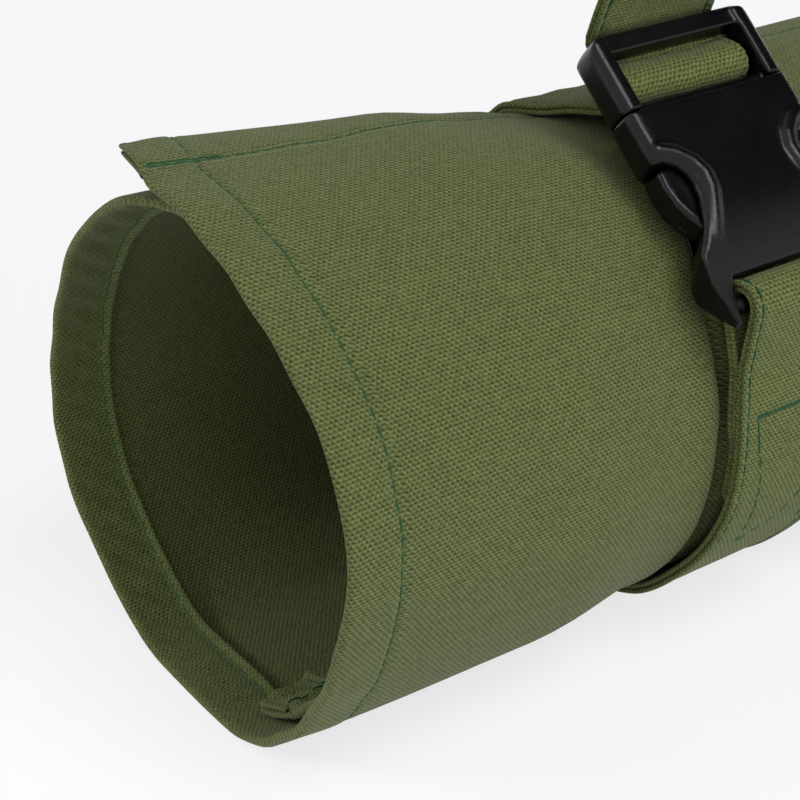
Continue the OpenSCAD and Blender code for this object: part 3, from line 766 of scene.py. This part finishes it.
def mouldedMesh(field, grid):
    field = np.broadcast_to(field, np.broadcast(*grid).shape)
    volume = openvdb.FloatGrid(background=float(field.max()))
    volume.gridClass = openvdb.GridClass.LEVEL_SET
    volume.copyFromArray(np.ascontiguousarray(field, np.float32))
    volume.transform = openvdb.createLinearTransform(voxelSize=buckle["voxel"])
    points, triangles, quads = volume.convertToPolygons(isovalue=0.0, adaptivity=0.012)
    points = points + [g.ravel()[0] for g in grid]
    return points, [f[::-1] for f in triangles.tolist() + quads.tolist()]


def plateTop(y):  # outer face: flat, then falling away towards the loop bar
    b = buckle
    fallen = b["bend"] * np.clip(b["bendFrom"] - y, 0, b["bendRun"]) ** 2
    return b["thick"] - fallen - b["slope"] * np.maximum(b["plateEnd"] - y, 0)


def receiverField(p):
    b = buckle
    far, wide = b["far"], b["halfWidth"]
    q = (np.abs(p[0]), p[1], p[2])
    body = prism(q, [(-10, 0), (wide, 0), *b["leg"], (-10, b["plateEnd"])], 0, b["thick"], 0.4)
    body = trim(body, block(q, (-far, -far, 0), (wide, far, b["thick"]), b["sideRound"]))
    under = block(q, (-far, -far, 0), (wide, far, far), b["underRound"])
    legs = block(q, (-far, -far, 0), (wide, -22, far), 0.8)  # these keep their depth
    body = trim(body, join(under, legs, 1.0))
    body = trim(body, b["legSlope"] * np.maximum(b["legFrom"] - p[1], 0) - p[2], 0.4)
    body = trim(body, p[2] - plateTop(p[1]), 0.4)
    leaning = b["lean"] * np.clip(b["leanZ"] - p[2], 0, b["leanDeep"])
    leaning = leaning * np.clip((b["leanFrom"] - p[1]) / b["leanRun"], 0, 1)
    opening = prism((q[0], q[1] + leaning, q[2]), b["opening"], -far, far, 0.2)
    body = cut(body, opening, 1.3)  # finger opening, with a raised ring on its inner side
    path = [(x, y, float(plateTop(y)) - b["ringSunk"]) for x, y in b["ring"]]
    body = join(body, bead(q, path, b["ringR"]), 0.5)
    body = cut(body, block(q, (-far, -far, -far), b["strapRoom"], 0.5), 0.3)  # room under the plate's edge
    hollow = block(q, (-far, b["wallY"], b["plate"]), (b["cavityHalf"], far, b["thick"] - b["plate"]), 0.3)
    body = cut(body, hollow, 0.2)
    return join(body, crossBar(p, b["loopBarHalf"], b["loopBar"]), 0.4)


def insertField(p):
    b = buckle
    far, wide = b["far"], b["halfWidth"] - b["insertIn"]
    q = (np.abs(p[0]), p[1], p[2])
    low, high = b["outerBar"]
    zLow, zHigh = b["insertLow"], b["thick"] - b["insertIn"]
    rail = block(q, (b["slotHalf"], b["railGap"], zLow), (wide, high, zHigh), 0.35)
    bar = block(q, (-far, low, b["outerBarZ"][0]), (b["slotHalf"] + 1.5, high, b["outerBarZ"][1]), 0.3)
    shape = join(rail, bar, 0.6)
    r = b["cornerR"]
    rounded = arc((wide - r, high - r), r, 0, 90, 10)
    corner = prism(q, [(-far, -far), (wide, -far), *rounded, (-far, high)], -far, far, 0.3)
    turned = np.radians(np.arange(0, 91, 10))
    rising = np.stack([high - b["riseRun"] * (1 - np.sin(turned)),
                       zLow + b["rise"] * (1 - np.cos(turned))], -1)
    ending = [(high, zHigh - 1), (high - 1, zHigh), (-far, zHigh)]
    side = outlineGap(p[1], p[2], [(-far, zLow), *rising, *ending])
    shape = trim(trim(shape, corner, 0.4), side, 0.3)
    shape = trim(shape, block(q, (-far, -far, zLow), (wide, far, zHigh), b["sideRound"]))
    shape = trim(shape, block(q, (-far, -far, zLow), (wide, far, far), b["underRound"] - 1))
    shape = join(shape, crossBar(p, b["lockBarHalf"], b["lockBar"]), 0.3)
    inner, top = b["innerZ"], b["thick"] - b["innerZ"]
    guideHalf, guideEnd = b["guide"]
    # cross piece, its front, and the guide
    for yLow, yHigh, half, edge, soft in ((b["railGap"], 1.6, b["slotHalf"] + 1, 0.3, 0.3),
                                          (-1.6, 1.0, b["cavityHalf"] - 0.4, 0.4, 0.3),
                                          (guideEnd, 0, guideHalf, 0.7, 0.4)):
        shape = join(shape, block(q, (-far, yLow, inner), (half, yHigh, top), edge), soft)
    return shape


def prongField(p):
    b = buckle
    low, high, r = b["innerZ"], b["thick"] - b["innerZ"], b["rootR"]
    shape = prism(p, b["prong"], low, high, 0.7)
    shape = join(shape, bead(p, [(*b["root"], low + r), (*b["root"], high - r)], [r, r]), 0.3)
    for z in (low + b["ridgeIn"], high - b["ridgeIn"]):
        shape = join(shape, bead(p, [(x, y, z) for x, y in b["ridge"]], b["ridgeR"]), 0.4)
    return shape


def placed(points, x):
    return np.column_stack([x + points[:, 0], onRoll(points[:, 1], points[:, 2])])


def mouldedPieces():
    pieces = {}
    for part, field, low, high in (("Receiver", receiverField, (-18.2, -36.9, -1.2), (18.2, 1.2, 10.4)),
                                   ("Insert", insertField, (-18.2, -16.9, -0.6), (18.2, 15.1, 9.8)),
                                   ("RightProng", prongField, (6.9, -23.3, 1.0), (17.0, -0.8, 7.8))):
        grid = fieldGrid(low, high)
        points, faces = mouldedMesh(field(grid), grid)
        mirrored = points * [-1, 1, 1]
        for end, x in ends.items():
            pieces[end, part] = makePiece(end + part, placed(points, x), faces, plastic)
            if part == "RightProng":
                pieces[end, "LeftProng"] = makePiece(end + "LeftProng", placed(mirrored, x),
                                                     [f[::-1] for f in faces], plastic)
        print(part, "moulded,", len(faces), "faces")
    return pieces


moulded = mouldedPieces()

# sewing thread: points with a direction and an outward side, and one stitch on each
stitch = {"pitch": 2.5, "length": 2.25, "thread": 0.165, "arch": 0.1, "skew": 0.05, "seed": 11,
          "barIn": 3.2, "barPitch": 0.38, "barHalf": 0.36, "barUp": 4.2, "boxDown": 23.0}
dice = np.random.default_rng(stitch["seed"])


def stitchTree():
    tree = bpy.data.node_groups.new("sewingStitches", "GeometryNodeTree")
    tree.interface.new_socket("Geometry", in_out="INPUT", socket_type="NodeSocketGeometry")
    for name in ("Stitch length", "Thread radius", "Arch height"):
        tree.interface.new_socket(name, in_out="INPUT", socket_type="NodeSocketFloat")
    tree.interface.new_socket("Thread", in_out="INPUT", socket_type="NodeSocketMaterial")
    tree.interface.new_socket("Geometry", in_out="OUTPUT", socket_type="NodeSocketGeometry")
    given = addNode(tree, "NodeGroupInput").outputs
    half = calc(tree, "MULTIPLY", given["Stitch length"], 0.5)
    sunk = calc(tree, "MULTIPLY", given["Thread radius"], -0.75)  # both ends go into the cloth
    arched = calc(tree, "MULTIPLY", given["Arch height"], 2.2)
    backwards = calc(tree, "MULTIPLY", half, -1.0)
    start, middle, end = (addNode(tree, "ShaderNodeCombineXYZ", None, {"X": x, "Z": z}).outputs[0]
                          for x, z in ((backwards, sunk), (0.0, arched), (half, sunk)))
    path = addNode(tree, "GeometryNodeCurveQuadraticBezier", None,
                   {"Resolution": 5, "Start": start, "Middle": middle, "End": end})
    ring = addNode(tree, "GeometryNodeCurvePrimitiveCircle", None,
                   {"Resolution": 6, "Radius": given["Thread radius"]})
    single = addNode(tree, "GeometryNodeCurveToMesh", None,
                     {"Curve": path.outputs[0], "Profile Curve": ring.outputs[0], "Fill Caps": True})
    along, outward, size = (addNode(tree, "GeometryNodeInputNamedAttribute", {"data_type": "FLOAT_VECTOR"},
                                    {"Name": name}).outputs[0] for name in ("along", "outward", "size"))
    turned = addNode(tree, "FunctionNodeAlignRotationToVector", {"axis": "X"}, {"Vector": along})
    turned = addNode(tree, "FunctionNodeAlignRotationToVector", {"axis": "Z", "pivot_axis": "X"},
                     {"Rotation": turned.outputs[0], "Vector": outward})
    spread = addNode(tree, "GeometryNodeInstanceOnPoints", None,
                     {"Points": given["Geometry"], "Instance": single.outputs[0],
                      "Rotation": turned.outputs[0], "Scale": size})
    real = addNode(tree, "GeometryNodeRealizeInstances", None, {"Geometry": spread.outputs[0]})
    even = addNode(tree, "GeometryNodeSetShadeSmooth", None, {"Geometry": real.outputs[0]})
    finish = addNode(tree, "GeometryNodeSetMaterial", None,
                     {"Geometry": even.outputs[0], "Material": given["Thread"]})
    addNode(tree, "NodeGroupOutput", None, {"Geometry": finish.outputs[0]})
    return tree


def sewnPiece(name, rows):
    at, along, outward, size = (np.concatenate([row[k] for row in rows]) for k in range(4))
    mesh = bpy.data.meshes.new(name)
    mesh.from_pydata((at * mm).tolist(), [], [])
    for key, values in (("along", along), ("outward", outward), ("size", size)):
        layer = mesh.attributes.new(key, "FLOAT_VECTOR", "POINT")
        layer.data.foreach_set("vector", values.astype(np.float32).ravel())
    piece = bpy.data.objects.new(name, mesh)
    bpy.context.scene.collection.objects.link(piece)
    modifier = piece.modifiers.new("sewing", "NODES")
    modifier.node_group = stitches
    sockets = {s.name: s.identifier for s in stitches.interface.items_tree if s.in_out == "INPUT"}
    for socket, key in (("Stitch length", "length"), ("Thread radius", "thread"), ("Arch height", "arch")):
        modifier[sockets[socket]] = stitch[key] * mm
    modifier[sockets["Thread"]] = thread
    done = bpy.data.meshes.new_from_object(piece.evaluated_get(bpy.context.evaluated_depsgraph_get()))
    piece.modifiers.clear()
    piece.data = done
    done.name = name
    return piece


def stitchRow(at, along, outward, short=1.0):
    n = len(at)
    along = unit(along)
    outward = unit(outward - along * np.sum(along * outward, -1, keepdims=True))
    along = unit(along + np.cross(along, outward) * dice.normal(0, stitch["skew"], (n, 1)))
    size = np.column_stack([short * dice.uniform(0.9, 1.06, n), dice.uniform(0.9, 1.1, n), np.ones(n)])
    return at, along, outward, size


def sheetRow(x, turn, inside, short=1.0):
    x, turn = np.broadcast_arrays(np.asarray(x, float), np.asarray(turn, float))
    depth = hemDepth(x, turn) if inside else np.zeros(x.shape)
    at = sheetPoint(x, turn, depth)
    byX = sheetPoint(x + 0.4, turn, depth) - sheetPoint(x - 0.4, turn, depth)
    byTurn = sheetPoint(x, turn + 0.5, depth) - sheetPoint(x, turn - 0.5, depth)
    out = unit(np.cross(byTurn, byX)) * (-1 if inside else 1)
    along = byX if np.ptp(x) > np.ptp(turn) else byTurn
    clear = inside | (at[:, 2] > 0.5)  # none where the roll rests
    return stitchRow(at[clear], along[clear], out[clear], short)


def raised(row, height):
    at, along, out, size = row
    return at + out * height, along, out, size


def sheetRows():
    s, p, pitch = rollShape, pockets, stitch["pitch"]
    step = pitch / perDeg
    rows = []
    for rim in (-s["half"] + hem["stitch"], s["half"] - hem["stitch"]):
        rows.append(sheetRow(rim, np.arange(2, 366, step), False))
        rows.append(sheetRow(rim, np.arange(186, s["wrapDeg"] - 2, step), True))
    along = np.arange(-s["half"] + 2, s["half"] - 1, pitch)
    rows.append(sheetRow(along, hem["stitch"] / perDeg, False))
    rows.append(sheetRow(along, s["wrapDeg"] - hem["stitch"] / perDeg * 1.09, True))
    for corner in (-1, 1):  # back stitches at both corners of the flap
        back = corner * np.arange(s["half"] - 13, s["half"] - 0.8, pitch * 0.72)
        for beside in (-0.45, 0.5):
            rows.append(sheetRow(back, (hem["stitch"] + beside) / perDeg, False, 0.9))
    above = p["gap"] + p["thick"]
    for seam in pocketSpan(p["seams"] + 1):
        rows.append(raised(sheetRow(np.arange(p["from"] + 2, p["to"] - 1, pitch), seam, True), above - 0.1))
    turns = np.arange(p["startDeg"] + p["marginDeg"], p["endDeg"] - p["marginDeg"], step)
    for x in (p["from"] + 2.2, p["to"] - 1.6):
        rows.append(raised(sheetRow(x, turns, True), above))
    return rows


def pickAt(at, run, *tables):  # rows of each table at given distances along a route
    return [np.column_stack([np.interp(at, run, column) for column in table.T]) for table in tables]


def edgeRow(part, x, across, face):
    centre, run = evenRoute(routes[part], 0.4)
    at = np.arange(1.2, run[-1] - 0.8, stitch["pitch"])
    middle, along, out = pickAt(at, run, centre, *routeSides(centre))
    lift = (strap["thick"] / 2 - 0.14) * face
    still = np.zeros(len(at))
    place = np.column_stack([x + across + tailDrift(at) * (part == "tail"), middle + out * lift])
    return stitchRow(place, np.column_stack([still, along]), np.column_stack([still, out * face]))


def edgeRows(part, x, faces):
    seam = strap["width"] / 2 - strap["edgeStitch"]
    return [edgeRow(part, x, side * seam, face) for side in (-1, 1) for face in faces]


def pathRow(corners, pitch, short=1.0):  # stitches on the belt, along a path given across and down it
    centre, run = evenRoute(routes["belt"], 0.4)
    sides = routeSides(centre)
    rows = []
    for (x0, s0), (x1, s1) in zip(corners[:-1], corners[1:]):
        n = max(int(math.hypot(x1 - x0, s1 - s0) / pitch), 1)
        t = (np.arange(n) + 0.5) / n
        middle, along, out = pickAt(s0 + (s1 - s0) * t, run, centre, *sides)
        way = np.column_stack([np.full(n, x1 - x0), along * (s1 - s0)])
        place = np.column_stack([x0 + (x1 - x0) * t, middle + out * (strap["thick"] / 2 - 0.02)])
        rows.append(stitchRow(place, way, np.column_stack([np.zeros(n), out]), short))
    return rows


def beltRows(x):  # edge rows, a bar of dense stitches where the loop closes, and a box with a slanting row
    centre, run = evenRoute(routes["belt"], 0.4)
    sewn = polar(lyingR(sewnDeg) + strap["thick"] + strap["gap"] + strap["standOff"], sewnDeg)
    past = len(run) // 5  # beyond the under layer
    seam = run[past:][np.argmin(np.linalg.norm(centre[past:] - sewn, axis=1))]
    bar, foot = seam - stitch["barUp"], seam + stitch["boxDown"]
    left = [(x - 9.0, bar), (x - 8.3, seam + 2), (x - 7.2, seam + 6), (x - 6.2, seam + 14), (x - 5.7, foot)]
    right = [(x + 9.0, bar), (x + 8.6, seam + 8), (x + 8.4, foot)]
    slanting = [left[-1], (x + 1.3, seam + 18.4), (x + 4.6, seam + 13), right[1]]
    rows = edgeRows("belt", x, (1,))
    for way in (left, right, slanting):
        rows += pathRow(way, stitch["pitch"])
    wide = strap["width"] / 2 - stitch["barIn"]
    zigzag = [(x + a, bar + stitch["barHalf"] * (1 if k % 2 else -1))
              for k, a in enumerate(np.arange(-wide, wide, stitch["barPitch"]))]
    rows += pathRow(zigzag, 1.3, 0.45)
    for side in (left, right):  # back stitches down from the bar
        rows += pathRow(side[:2], 0.8, 0.6)
    return rows


stitches = stitchTree()
sewing = {"roll": sewnPiece("rollThread", sheetRows() + [row for x in ends.values() for row in beltRows(x)])}
for end, x in ends.items():
    sewing[end, "top"] = sewnPiece(end + "TopThread", edgeRows("top", x, (1,)))
    sewing[end, "tail"] = sewnPiece(end + "TailThread", edgeRows("tail", x, (1, -1)))
print("sewn,", sum(len(p.data.polygons) for p in sewing.values()), "faces of thread")

# what moves with what, and which solids each piece stands for
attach(sheet, "roll")
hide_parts("panel", "mouth_hem", "foot_hem", "flap_hem", "inner_hem")
for fold in folds:
    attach(fold, "roll")
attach(pocket, "roll")
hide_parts("pocket_panel")
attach(sewing["roll"], "roll")
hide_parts("mouth_bartack", "foot_bartack")


for end, x in ends.items():
    insert, tail = end + "_insert", end + "_tail"
    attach(straps[end, "belt"], "roll")
    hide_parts(end + "_belt", end + "_loop")
    for piece in (straps[end, "top"], sewing[end, "top"]):
        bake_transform(piece)
    for piece in (straps[end, "tail"], sewing[end, "tail"]):
        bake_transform(piece)
    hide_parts(end + "_top_strap")
    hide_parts(tail)
    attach(moulded[end, "Receiver"], "roll")
    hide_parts(end + "_receiver")
    leftProng, rightProng = end + "_left_prong", end + "_right_prong"
    for part, body in (("Insert", insert), ("LeftProng", leftProng), ("RightProng", rightProng)):
        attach(moulded[end, part], body)
        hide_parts(body)  # body and solid have one name

print("pieces ride on their bodies")

# floor and light: white sweep, wide soft lamp above the buckle side, less light towards the mouth
studio = {
    "floor": (0.965, 0.97, 0.985, 1), "sweep": (0.985, 0.992, 1.0, 1), "floorHalf": 6000.0, "floorSeen": 0.74,
    "seen": 0.95, "world": 0.57,
    # parts of the world: direction, where the change starts and is complete, and how much light is there
    "front": ((0.0, -1.0, 0.0), 0.25, 0.95, 2.9), "mouth": ((-0.92, -0.3, -0.25), 0.3, 0.85, 0.55),
    "buckleShade": ((0.66, 0.0, 0.751), 0.7, 0.92, 0.01),
}
studioLamps = {  # place, aim, size and power, in metres and watts, and spread in degrees
    "keyLamp": ((0.1, -0.6, 1.18), (0, 0, 0.05), 0.6, 6.3, 180),
    "fillLamp": ((0.2, 0.9, 1.2), (0, 0, 0.05), 1.2, 0.5, 180),
    "mouthLamp": ((-0.55, 0.16, 0.3), (-0.148, -0.005, 0.012), 0.12, 0.018, 24),  # for the mouth's lower rim
}


def seenRays(tree):  # rays that look straight at the background, and those that meet it in a shiny surface
    path = addNode(tree, "ShaderNodeLightPath").outputs
    return path["Is Camera Ray"], calc(tree, "MAXIMUM", path["Is Glossy Ray"], path["Is Transmission Ray"])


def floorFinish():
    material, tree, shader = newMaterial("paleFloor", {"Base Color": studio["floor"], "Roughness": 0.9,
                                                       "Specular IOR Level": 0.0})
    plain = addNode(tree, "ShaderNodeEmission", None, {"Color": studio["sweep"], "Strength": 1.0})
    looked = calc(tree, "MAXIMUM", *seenRays(tree))
    share = calc(tree, "MULTIPLY", looked, studio["floorSeen"])
    mixed = addNode(tree, "ShaderNodeMixShader", None, {0: share, 1: shader.outputs[0], 2: plain.outputs[0]})
    tree.links.new(mixed.outputs[0], tree.nodes["Material Output"].inputs["Surface"])
    return material


corners = np.array([(-1, -1, 0), (1, -1, 0), (1, 1, 0), (-1, 1, 0)])
floor = makePiece("floor", corners * studio["floorHalf"], [(0, 1, 2, 3)], floorFinish())


def studioWorld():  # brighter in front, dimmer at the mouth and above the buckle, plain white when seen
    world = bpy.data.worlds.new("studio")
    world.use_nodes = True
    tree = world.node_tree
    lit = tree.nodes["Background"]
    way = addNode(tree, "ShaderNodeTexCoord").outputs["Generated"]
    strength = studio["world"]
    for side in ("front", "mouth", "buckleShade"):
        towards, low, high, level = studio[side]
        facing = onVector(tree, "DOT_PRODUCT", way, towards)["Value"]
        share = addNode(tree, "ShaderNodeMapRange", {"interpolation_type": "SMOOTHSTEP"},
                        {"Value": facing, "From Min": low, "From Max": high, "To Min": 1.0, "To Max": level})
        strength = calc(tree, "MULTIPLY", share.outputs["Result"], strength)
    tree.links.new(strength, lit.inputs["Strength"])
    lit.inputs["Color"].default_value = (1, 1, 1, 1)
    plain = addNode(tree, "ShaderNodeBackground", None, {"Color": (1, 1, 1, 1), "Strength": studio["seen"]})
    straight, mirrored = seenRays(tree)
    mirrored = calc(tree, "MULTIPLY", mirrored, share.outputs["Result"])  # the buckle's shade shows in it
    looked = calc(tree, "MAXIMUM", straight, mirrored)
    either = addNode(tree, "ShaderNodeMixShader", None, {0: looked, 1: lit.outputs[0], 2: plain.outputs[0]})
    tree.links.new(either.outputs[0], tree.nodes["World Output"].inputs["Surface"])
    return world


def softLamp(name, at, aim, size, power, spreadDeg):
    lamp = bpy.data.lights.new(name, "AREA")
    lamp.shape = "DISK"
    lamp.size = size
    lamp.energy = power
    lamp.spread = math.radians(spreadDeg)
    holder = bpy.data.objects.new(name, lamp)
    bpy.context.scene.collection.objects.link(holder)
    holder.location = at
    way = np.subtract(aim, at)
    tilt, heading = math.acos(-way[2] / np.linalg.norm(way)), math.atan2(way[1], way[0])
    holder.rotation_euler = (tilt, 0, heading - math.pi / 2)


bpy.context.scene.world = studioWorld()
for name, settings in studioLamps.items():
    softLamp(name, *settings)
print("floor and lamps set")
